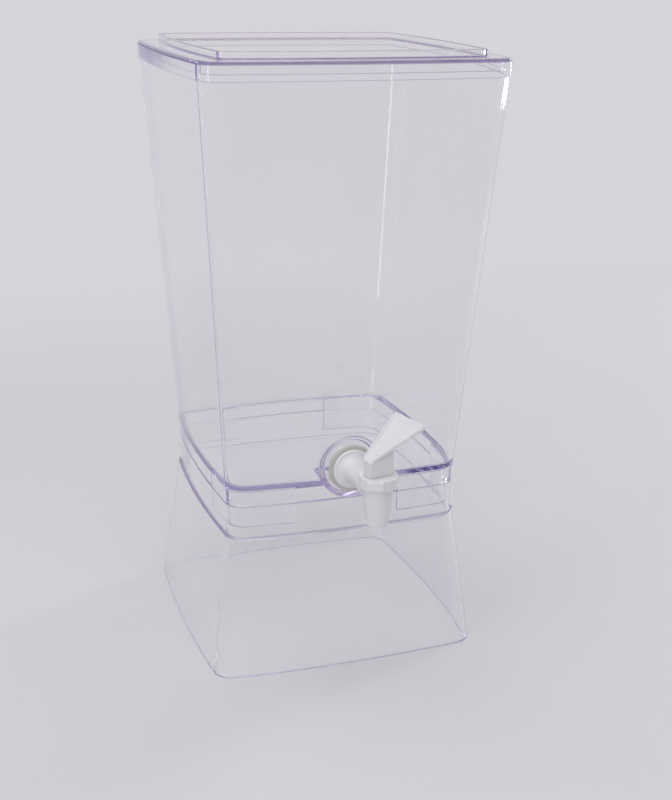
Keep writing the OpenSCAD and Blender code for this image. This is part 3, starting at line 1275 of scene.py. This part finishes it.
class WoundRidge(BuiltOnce):
    """Geometry Nodes tree that winds a round or ridged section about an axis."""

    points_per_turn = 48

    @staticmethod
    def _build() -> bpy.types.NodeTree:
        """Builds the tree.

        Returns:
            A Geometry Nodes tree with named inputs for the winding's sizes.
        """
        nodes = NodeTree.group(
            "wound_ridge",
            "GeometryNodeTree",
            {
                "Geometry": "Geometry",
                "Turns": "Float",
                "Radius": "Float",
                "Height": "Float",
                "Ridge": "Float",
                "Points Per Turn": "Int",
                "Sides": "Int",
                "Finish": "Material",
            },
            {"Geometry": "Geometry"},
        )
        given = nodes.add("NodeGroupInput").outputs
        winding = nodes.add(
            "GeometryNodeCurveSpiral",
            Resolution=given["Points Per Turn"],
            Rotations=given["Turns"],
            Start_Radius=given["Radius"],
            End_Radius=given["Radius"],
            Height=given["Height"],
        )
        section = nodes.add(
            "GeometryNodeCurvePrimitiveCircle",
            mode="RADIUS",
            Resolution=given["Sides"],
            Radius=given["Ridge"],
        )
        sweep = nodes.add(
            "GeometryNodeCurveToMesh",
            Curve=winding.outputs["Curve"],
            Profile_Curve=section.outputs["Curve"],
            Fill_Caps=True,
        )
        last = sweep.outputs["Mesh"]
        for kind in ("GeometryNodeSetShadeSmooth", "GeometryNodeRealizeInstances"):
            last = nodes.add(kind, Geometry=last).outputs["Geometry"]
        finish = nodes.add("GeometryNodeSetMaterial", Geometry=last, Material=given["Finish"])
        nodes.add("NodeGroupOutput", Geometry=finish.outputs["Geometry"])
        return nodes.tree

    @classmethod
    def make(
        cls,
        name: str,
        turns: float,
        radius: float,
        height: float,
        ridge: float,
        sides: int,
        finish: Finish,
        place: Matrix,
    ) -> bpy.types.Object:
        """Winds one ridge.

        Args:
            name: Name of the object.
            turns: Number of turns.
            radius: Distance from the axis to the middle of the ridge.
            height: Length along the axis, between the middles of the ends.
            ridge: Radius of the ridge's section.
            sides: Number of sides of the section.
            finish: Its finish.
            place: Where the axis goes, in metres.

        Returns:
            The new object, with its place in its mesh.
        """
        made = link(name, bpy.data.meshes.new(name))
        wind = made.modifiers.new("winding", "NODES")
        wind.node_group = cls.tree()
        values = {
            "Turns": float(turns),
            "Radius": radius * MM,
            "Height": height * MM,
            "Ridge": ridge * MM,
            "Points Per Turn": cls.points_per_turn,
            "Sides": sides,
            "Finish": finish.material(),
        }
        for item in cls.tree().interface.items_tree:
            if item.in_out == "INPUT" and item.name in values:
                wind[item.identifier] = values[item.name]
        bake(made)
        made.data.transform(place)
        return made


@dataclass
class Tap:
    """The lever tap: gaskets, nut, body, bonnet, stem, spring and lever."""

    seat: Lathe
    barrel: Lathe
    pin: Place
    heading: float
    pitch: float
    shank_radius: float = 8.0
    shank_length: float = 17.0
    wall_depth: float = 3.0
    gasket_radius: float = 18.5
    gasket_thickness: float = 3.0
    inner_gasket_radius: float = 13.5
    inner_gasket_thickness: float = 2.0
    flange_radius: float = 15.5
    flange_thickness: float = 3.0
    dome_radius: float = 12.5
    dome_length: float = 12.0
    dome_step: float = 0.8
    dome_draft: float = 0.15
    neck_radius: float = 8.0
    bore_radius: float = 5.0
    reach: float = 58.5
    spout_length: float = 22.0
    spout_end: float = 8.2
    spout_bore: float = 6.3
    barrel_radius: float = 11.3
    outlet_radius: float = 4.5
    valve_seat: float = -7.0
    chamber_radius: float = 7.84
    bonnet_base: float = 8.2
    bonnet_top: float = 16.9
    plate_top: float = 16.1
    plate_base: float = 14.5
    bonnet_radius: float = 14.2
    stem_hole: float = 3.06
    nut_width: float = 25.0
    nut_height: float = 8.0
    thread_gap: float = 0.2
    thread_depth: float = 0.7
    thread_ridge: float = 0.62
    thread_lead: float = 2.0
    seat_cup_top: float = 0.0
    coil_radius: float = 4.1
    wire_radius: float = 0.5
    coil_turns: int = 5
    lift: float = 4.5
    pad_heading: float = 29.0
    pad_width: float = 12.0
    pad_depth: float = 3.0
    pad_proud: float = 0.4
    pad_inset: float = 1.2
    pad_edge: float = 0.35
    rise: float = 34.0
    block_width: float = 9.2
    heel: float = 10.0
    block_base: float = -4.85
    root_height: float = 7.0
    paddle_length: float = 45.0
    paddle_root: float = 9.8
    paddle_tip: float = 36.6
    paddle_thickness: float = 3.0
    paddle_sink: float = 0.6
    paddle_overhang: float = 0.3
    lip: float = 1.6
    tip_slope: float = 4.0
    root_bevel: float = 3.0
    bevel_depth: float = 2.0
    stem_slot: float = 2.15
    stem_room: float = 5.6
    stem_height: float = 5.0

    def build(self) -> None:
        """Builds every piece of the tap."""
        self._gaskets()
        self._nut()
        self._body()
        self._thread()
        self._bonnet()
        self._spring()
        self._lever()
        self._inner_pieces()

    def _gaskets(self) -> None:
        """Builds the two soft washers on either side of the tank wall."""
        bore = self.shank_radius + self.thread_gap
        back, behind = -self.wall_depth - self.inner_gasket_thickness, -self.wall_depth - CLEARANCE
        front = self.gasket_thickness - CLEARANCE
        for name, node, radius, low, high, edge in (
            ("outer_washer", "outer_gasket", self.gasket_radius, CLEARANCE, front, 0.9),
            ("inner_washer", "inner_gasket", self.inner_gasket_radius, back, behind, 0.6),
        ):
            section = [
                Corner(bore, low, 0.2),
                Corner(radius, low, edge),
                Corner(radius, high, edge),
                Corner(bore, high, 0.2),
            ]
            made = shade(self.seat.turn(name, section), 50)
            place_piece(made, SILICONE, "tank", [node])

    def _nut(self) -> None:
        """Builds the hexagon nut with its chamfered corners."""
        front = -self.wall_depth - self.inner_gasket_thickness
        back = front - self.nut_height
        bore = self.shank_radius + self.thread_gap
        corner = self.nut_width / math.sqrt(3)
        ring = turned(
            self.seat,
            [
                Corner(bore, back, 0.4),
                Corner(corner - 1.6, back, 0.3),
                Corner(corner + 0.6, back + 1.6, 0.3),
                Corner(corner + 0.6, front - 1.2, 0.3),
                Corner(corner - 1.0, front, 0.3),
                Corner(bore, front, 0.4),
            ],
        )
        x, y, z = self.seat.origin

        def shape(p: Points) -> Points:
            """Distance to the chamfered hexagon."""
            distance = ring(p)
            for k in range(3):
                a = math.radians(30 + 60 * k)
                across = np.abs((p[:, 0] - x) * math.cos(a) + (p[:, 2] - z) * math.sin(a))
                distance = blend_cut(distance, self.nut_width / 2 - across, 0.5)
            return distance

        low, high = (x - corner, y - front, z - corner), (x + corner, y - back, z + corner)
        made = skin("hex_nut", shape, low, high, self.pitch)
        place_piece(made, WHITE, "tank", ["tap_nut"])

    def _body(self) -> None:
        """Builds the body: shank, flange, dome, neck, barrel and spout in one moulding."""
        back = self.gasket_thickness
        face = back + self.flange_thickness
        core = self.shank_radius - self.thread_depth
        foot, step = self.dome_radius - self.dome_draft, self.dome_step
        barrel_top = self.plate_base - 0.6
        curve = [
            Corner(
                foot - (foot - self.neck_radius) * math.sin(a),
                face + step + (self.dome_length - step) * (1 - math.cos(a)),
            )
            for a in np.radians(np.arange(10, 91, 10))
        ]
        neck = turned(
            self.seat,
            [
                Corner(PAST_AXIS, -self.shank_length),
                Corner(core, -self.shank_length, 0.5),
                Corner(core, back - 0.6),
                Corner(self.flange_radius, back + 0.03, 0.6),
                Corner(self.flange_radius, face, 1.1),
                Corner(self.dome_radius, face, 0.3),
                Corner(foot, face + step, 0.4),
                *curve,
                Corner(self.neck_radius, self.reach),
                Corner(PAST_AXIS, self.reach),
            ],
        )
        collar = self.barrel_radius - self.thread_gap
        barrel = turned(
            self.barrel,
            [
                Corner(PAST_AXIS, -self.spout_length),
                Corner(self.spout_end, -self.spout_length, 1.1),
                Corner(self.barrel_radius, self.bonnet_base, 0.2),
                Corner(collar, self.bonnet_base),
                Corner(collar, barrel_top, 0.4),
                Corner(PAST_AXIS, barrel_top),
            ],
        )
        bore = turned(self.seat, rod(self.bore_radius, -self.shank_length - 1, self.reach, axis=PAST_AXIS))
        chamber = turned(
            self.barrel,
            rod(self.chamber_radius, self.valve_seat, self.plate_base + 2, (0.6, 0), PAST_AXIS),
        )
        outlet = turned(
            self.barrel,
            [
                Corner(PAST_AXIS, -self.spout_length - 1),
                Corner(self.spout_bore + 0.1, -self.spout_length - 1),
                Corner(self.spout_bore, -self.spout_length),
                Corner(self.outlet_radius, self.valve_seat - 2, 1.0),
                Corner(self.outlet_radius, self.valve_seat + 1),
                Corner(PAST_AXIS, self.valve_seat + 1),
            ],
        )

        def shape(p: Points) -> Points:
            """Distance to the body with its waterways."""
            above = self.barrel.flat(p)[:, 1]
            solid = blend_join(neck(p), barrel(p), np.interp(above, (-6, 6), (10, 4)))
            ahead = self.seat.flat(p)[:, 1] > face + self.dome_length
            solid = np.where(ahead, np.maximum(solid, above - barrel_top), solid)
            for way in (bore, chamber, outlet):
                solid = blend_cut(solid, way(p), 0.5)
            return solid

        x, y, z = self.seat.origin
        made = skin(
            "tap_moulding",
            shape,
            (x - self.flange_radius, y - self.reach - self.barrel_radius, z - self.spout_length),
            (x + self.flange_radius, y + self.shank_length, z + self.flange_radius),
            self.pitch,
        )
        place_piece(made, WHITE, "tank", ["tap_body"])

    def _thread(self) -> None:
        """Winds the thread on the shank."""
        ridge, start, end = self.thread_ridge, 1.0, 1.2
        length = self.shank_length - start - end
        place = (
            Matrix.Translation(Vector(self.seat.origin) * MM)
            @ Matrix.Rotation(math.radians(90), 4, "X")
            @ Matrix.Translation((0, 0, (start - self.shank_length) * MM))
        )
        made = WoundRidge.make(
            "shank_thread",
            turns=length / self.thread_lead,
            radius=self.shank_radius - ridge - 0.03,
            height=length,
            ridge=ridge,
            sides=6,
            finish=WHITE,
            place=place,
        )
        place_piece(made, WHITE, "tank")

    def _bonnet(self) -> None:
        """Builds the bonnet ring with its thin rim and flat pad."""
        ring = self.bonnet_radius
        cap = turned(
            self.barrel,
            [
                Corner(self.stem_hole, self.plate_base, 0.2),
                Corner(self.barrel_radius, self.plate_base, 0.4),
                Corner(self.barrel_radius, self.bonnet_base, 0.2),
                Corner(ring, self.bonnet_base, 0.5),
                Corner(ring, self.bonnet_top, 0.6),
                Corner(ring - 1.2, self.bonnet_top, 0.4),
                Corner(ring - 1.8, self.plate_top, 0.5),
                Corner(self.stem_hole, self.plate_top, 0.25),
            ],
        )
        a = math.radians(-90 - self.pad_heading)
        out, across = np.array([math.cos(a), math.sin(a)]), np.array([-math.sin(a), math.cos(a)])
        middle = np.array(
            [ring + self.pad_proud - self.pad_depth / 2, 0, (self.bonnet_base + self.bonnet_top) / 2]
        )
        half = np.array(
            [
                self.pad_depth / 2,
                self.pad_width / 2,
                (self.bonnet_top - self.bonnet_base) / 2 - self.pad_inset,
            ]
        )

        def shape(p: Points) -> Points:
            """Distance to the bonnet with its pad."""
            q = p - np.array(self.barrel.origin)
            own = np.column_stack([q[:, :2] @ out, q[:, :2] @ across, q[:, 2]])
            sides = np.abs(own - middle) - half + self.pad_edge
            proud = np.linalg.norm(np.maximum(sides, 0), axis=1)
            pad = proud + np.minimum(sides.max(1), 0) - self.pad_edge
            return blend_join(cap(p), pad, 0.4)

        x, y, z = self.barrel.origin
        reach = math.hypot(ring + self.pad_proud, self.pad_width / 2) + 0.5
        made = skin(
            "bonnet_ring",
            shape,
            (x - reach, y - reach, z + self.bonnet_base),
            (x + reach, y + reach, z + self.bonnet_top),
            0.75 * self.pitch,
        )
        place_piece(made, WHITE, "tank", ["bonnet"])

    def _spring(self) -> None:
        """Winds the closing spring at one length; the real one shortens as the stem lifts."""
        base, top = self.seat_cup_top + self.wire_radius, self.plate_base - self.wire_radius
        x, y, z = self.barrel.origin
        made = WoundRidge.make(
            "closing_spring",
            turns=self.coil_turns,
            radius=self.coil_radius,
            height=top - base,
            ridge=self.wire_radius,
            sides=10,
            finish=STEEL,
            place=Matrix.Translation(Vector((x, y, z + base)) * MM),
        )
        place_piece(made, STEEL, "swivel", ["spring"])
        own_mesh(made)

    def _lever(self) -> None:
        """Builds the lever: a block astride the stem and a tray-like paddle with raised lips."""
        turn = math.radians(self.heading)
        rise = math.radians(self.rise)
        along = np.array([math.cos(turn), math.sin(turn), 0])
        aside = np.array([-math.sin(turn), math.cos(turn), 0])
        up = np.array([0.0, 0.0, 1.0])
        high = self.root_height + 2 * self.heel * math.tan(rise)
        line = round_corners(
            [
                (-self.heel, self.block_base),
                (self.heel, self.block_base),
                (self.heel, high),
                (-self.heel, self.root_height),
            ],
            [0.5] * 4,
            True,
        )
        block_side = np.array([q[:2] for q in line])
        start, end = -self.paddle_overhang, self.paddle_length - self.paddle_overhang
        root, tip = self.paddle_root / 2, self.paddle_tip / 2
        line = round_corners(
            [(start, -root), (end, -tip), (end, tip), (start, root)], [0.8, 1.0, 1.0, 0.8], True
        )
        plan = np.array([q[:2] for q in line])
        low_face, high_face = -self.paddle_sink, self.paddle_thickness - self.paddle_sink
        slope = math.atan2(self.bevel_depth, self.root_bevel)

        def rounded_slab(flat: Points, depth: Points, edge: float) -> Points:
            """Distance to a flat form with a thickness and rounded edges."""
            one, two = flat + edge, depth + edge
            outside = np.hypot(np.maximum(one, 0), np.maximum(two, 0))
            return outside + np.minimum(np.maximum(one, two), 0) - edge

        def shape(p: Points) -> Points:
            """Distance to the lever."""
            q = p - np.array(self.pin)
            u, w, h = q @ along, q @ aside, q @ up
            block = rounded_slab(
                polygon_distance(np.column_stack([u, h]), block_side), np.abs(w) - self.block_width / 2, 0.5
            )
            a = (u + self.heel) * math.cos(rise) + (h - self.root_height) * math.sin(rise)
            b = (h - self.root_height) * math.cos(rise) - (u + self.heel) * math.sin(rise)
            flat = polygon_distance(np.column_stack([a, w]), plan)
            middle = (low_face + high_face) / 2
            paddle = rounded_slab(flat, np.abs(b - middle) - self.paddle_thickness / 2, 0.45)
            ramp = np.clip((a - (end - self.lip - self.tip_slope)) / self.tip_slope, 0, 1)
            floor = middle + ramp * (high_face - middle - 0.15)
            tray = np.maximum(flat + self.lip, floor - b)
            paddle = blend_cut(paddle, tray, 0.5)
            bevel = (self.root_bevel - a) * math.sin(slope) + (b - high_face) * math.cos(slope)
            paddle = blend_cut(paddle, -bevel, 0.4)
            solid = blend_join(block, paddle, 1.2)
            slot = np.maximum.reduce(
                [np.abs(w) - self.stem_slot, np.abs(u) - self.stem_room, h - self.stem_height]
            )
            return blend_cut(solid, slot, 0.3)

        low, high_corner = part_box("lever")
        made = skin("lever_paddle", shape, low / MM, high_corner / MM, 0.8 * self.pitch)
        place_piece(made, WHITE, "lever", ["lever"])

    def _inner_pieces(self) -> None:
        """Dresses the pieces inside the tap, whose plain forms are right as they are."""
        for node, finish in (("valve_stem", WHITE), ("lever_pin", WHITE), ("seat_cup", SILICONE)):
            dress(frame["nodes"][node], finish)
            LOG.info("%s: finish %s", node, finish.name)


# Studio


@dataclass(frozen=True)
class Softbox:
    """A soft lamp.

    Attributes:
        name: Its name.
        place: Where it hangs, in metres.
        aim: What it points at.
        size: Its width and height.
        power: Its power, in watts.
        color: Its colour.
    """

    name: str
    place: Place
    aim: Place
    size: tuple[float, float]
    power: float
    color: Color = (1.0, 0.99, 0.98)

    def hang(self) -> None:
        """Puts the lamp in the scene."""
        lamp = bpy.data.lights.new(self.name, "AREA")
        lamp.shape = "RECTANGLE"
        lamp.size, lamp.size_y = self.size
        lamp.energy = self.power
        lamp.color = self.color
        held = bpy.data.objects.new(self.name, lamp)
        held.location = self.place
        facing = Vector(self.aim) - Vector(self.place)
        held.rotation_euler = facing.to_track_quat("-Z", "Y").to_euler()
        bpy.context.scene.collection.objects.link(held)


SOFTBOXES = (
    Softbox("left_softbox", (-1.72, -0.99, 0.95), (0, 0, 0.4), (0.35, 1.8), 7.0),
    Softbox("right_softbox", (1.67, 0.69, 0.95), (0, 0, 0.4), (0.35, 1.8), 11.0),
    Softbox("front_softbox", (-0.3, -2.0, 2.2), (0, 0, 0.3), (2.0, 1.2), 15.0),
    Softbox("top_softbox", (-0.3, 0.1, 2.2), (0, 0, 0.2), (1.8, 1.8), 17.0),
)


@dataclass
class Studio:
    """Floor, backdrop, lights and camera.

    Attributes:
        eye: Place of the camera, in millimetres.
        yaw: Turn of the camera to the right, in radians.
        pitch: Its tilt downwards.
        roll: Its turn about its own line of sight.
        focal_pixels: Its focal length, in pixels of the image.
        image_height: Height of the image, in pixels.
        floor_color: Colour of the paper.
        far_color: What the paper looks like far from the part.
        room_color: What the room past the paper looks like.
        sky_color: Colour of the even light from all round.
        sky_strength: Its strength.
        near_side: Half the width, in metres, of the floor that keeps the part's shadow.
        near_front: How far that floor reaches to the front.
        fade_start: Distance past it at which the paper starts to turn evenly pale.
        fade_end: Distance at which it is so.
        bounces: Number of bounces that light may take in the clear plastic.
        clear_bounces: Number of clear faces that a shadow ray may pass.
    """

    eye: Place = (-315.36, -970.95, 536.16)
    yaw: float = 0.3347
    pitch: float = 0.3315
    roll: float = 0.0162
    focal_pixels: float = 1304.43
    image_height: int = 800
    floor_color: Color = (0.73, 0.72, 0.74)
    far_color: Color = (0.675, 0.66, 0.69)
    room_color: Color = (0.56, 0.55, 0.575)
    sky_color: Color = (0.93, 0.94, 1.0)
    sky_strength: float = 0.36
    near_side: float = 0.5
    near_front: float = 1.6
    fade_start: float = 0.2
    fade_end: float = 1.2
    bounces: int = 40
    clear_bounces: int = 32

    def build(self) -> None:
        """Builds the stage, the lights and the camera."""
        self._stage()
        for softbox in SOFTBOXES:
            softbox.hang()
        self._room()
        self._camera()
        scene = bpy.context.scene
        scene.view_settings.view_transform = "Standard"
        scene.cycles.max_bounces = self.bounces
        scene.cycles.transmission_bounces = self.bounces
        scene.cycles.glossy_bounces = self.bounces
        scene.cycles.transparent_max_bounces = self.clear_bounces

    def _stage(self) -> None:
        """Builds the floor and the backdrop as one sweep."""
        radius, front, back, top, side, drop = 0.8, -4.0, 2.4, 3.4, 5.0, 0.0004
        line = [(front, 0.0), (back - radius, 0.0)]
        line += [
            (back - radius + radius * math.sin(a), radius - radius * math.cos(a))
            for a in np.radians(np.arange(6, 91, 6))
        ]
        line.append((back, top))
        points = [(x, y, z - drop) for y, z in line for x in (-side, side)]
        faces = [(2 * i, 2 * i + 1, 2 * i + 3, 2 * i + 2) for i in range(len(line) - 1)]
        mesh = bpy.data.meshes.new("sweep")
        mesh.from_pydata(points, [], faces)
        mesh.shade_smooth()
        sweep = link("sweep", mesh)
        mesh.materials.append(self._paper())

    def _paper(self) -> bpy.types.Material:
        """The paper of the sweep, which keeps the part's shadow near it and looks evenly pale far off.

        Returns:
            The material.
        """
        made = bpy.data.materials.new("pale_paper")
        made.use_nodes = True
        nodes = NodeTree(made.node_tree)
        surface = made.node_tree.nodes["Principled BSDF"]
        surface.inputs["Base Color"].default_value = (*self.floor_color, 1)
        surface.inputs["Roughness"].default_value = 0.85
        surface.inputs["Specular IOR Level"].default_value = 0.15
        glow = nodes.add("ShaderNodeEmission", Color=(*self.far_color, 1)).outputs["Emission"]
        place = nodes.add("ShaderNodeTexCoord").outputs["Object"]
        split = nodes.add("ShaderNodeSeparateXYZ", Vector=place).outputs
        beside = nodes.math("SUBTRACT", nodes.math("ABSOLUTE", split["X"]), self.near_side)
        before = nodes.math("MULTIPLY_ADD", split["Y"], -1.0, -self.near_front)
        reach = nodes.math("MAXIMUM", nodes.math("MAXIMUM", split["Y"], before), beside)
        far = nodes.add(
            "ShaderNodeMapRange",
            interpolation_type="SMOOTHSTEP",
            Value=reach,
            From_Min=self.fade_start,
            From_Max=self.fade_end,
        )
        share = nodes.math("MULTIPLY", self._seen(nodes), far.outputs["Result"])
        looks = nodes.either(share, surface.outputs["BSDF"], glow)
        nodes.feed(made.node_tree.nodes["Material Output"].inputs["Surface"], looks)
        return made

    @staticmethod
    def _seen(nodes: NodeTree) -> bpy.types.NodeSocket:
        """Marks the rays that look at the surroundings, straight, in a reflection or through clear plastic.

        A ray that has left a matt surface carries light instead, and isn't marked.

        Args:
            nodes: The tree that gets the nodes.

        Returns:
            The socket, which is 1 for such rays and 0 for the others.
        """
        path = nodes.add("ShaderNodeLightPath").outputs
        looks = path["Is Camera Ray"]
        for kind in ("Is Glossy Ray", "Is Transmission Ray"):
            looks = nodes.math("MAXIMUM", looks, path[kind])
        return nodes.math("MULTIPLY", looks, nodes.math("LESS_THAN", path["Diffuse Depth"], 0.5))

    def _room(self) -> None:
        """Sets an even light all round, and what the room looks like past the paper."""
        world = bpy.data.worlds.new("room")
        world.use_nodes = True
        nodes = NodeTree(world.node_tree)
        sky = world.node_tree.nodes["Background"]
        sky.inputs["Color"].default_value = (*self.sky_color, 1)
        sky.inputs["Strength"].default_value = self.sky_strength
        pale = nodes.add("ShaderNodeBackground", Color=(*self.room_color, 1))
        looks = nodes.either(self._seen(nodes), sky.outputs["Background"], pale.outputs["Background"])
        nodes.feed(world.node_tree.nodes["World Output"].inputs["Surface"], looks)
        bpy.context.scene.world = world

    def _camera(self) -> None:
        """Sets the camera at the photograph's place, turn and field of view."""
        forward = Vector(
            (
                math.sin(self.yaw) * math.cos(self.pitch),
                math.cos(self.yaw) * math.cos(self.pitch),
                -math.sin(self.pitch),
            )
        )
        right = Vector((math.cos(self.yaw), -math.sin(self.yaw), 0))
        up = right.cross(forward)
        right_turned = right * math.cos(self.roll) + up * math.sin(self.roll)
        up_turned = up * math.cos(self.roll) - right * math.sin(self.roll)
        data = bpy.data.cameras.new("camera")
        data.sensor_fit = "VERTICAL"
        data.sensor_height = 36.0
        data.lens = self.focal_pixels * data.sensor_height / self.image_height
        data.clip_start, data.clip_end = 0.05, 50.0
        camera = bpy.data.objects.new("camera", data)
        turn = Matrix((right_turned, up_turned, -forward)).transposed()
        camera.matrix_world = Matrix.Translation(Vector(self.eye) * MM) @ turn.to_4x4()
        bpy.context.scene.collection.objects.link(camera)
        bpy.context.scene.camera = camera


def joint(name: str) -> dict:
    """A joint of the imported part, by name."""
    return next(j for j in frame["joints"] if j["name"] == name)


def main() -> None:
    """Builds the dispenser and its studio."""
    logging.basicConfig(level=logging.INFO, format="%(name)s: %(message)s")
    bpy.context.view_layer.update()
    Studio().build()
    low, high = (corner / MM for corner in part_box("outer_gasket"))
    seat = Lathe(Axis.FORWARD, (0.0, high.y, (low.z + high.z) / 2))
    x, y, _ = joint("lever_turn")["pos_m"]
    barrel = Lathe(Axis.UP, (x / MM, y / MM, seat.origin[2]))
    tilt = joint("lever_tilt")
    pin = tuple(c / MM for c in tilt["pos_m"])
    heading = math.degrees(math.atan2(-tilt["axis"][0], tilt["axis"][1]))
    Stand().build()
    Tank().build(seat)
    Lid().build()
    Tap(seat=seat, barrel=barrel, pin=pin, heading=heading, pitch=0.5).build()


if __name__ == "__main__":
    main()
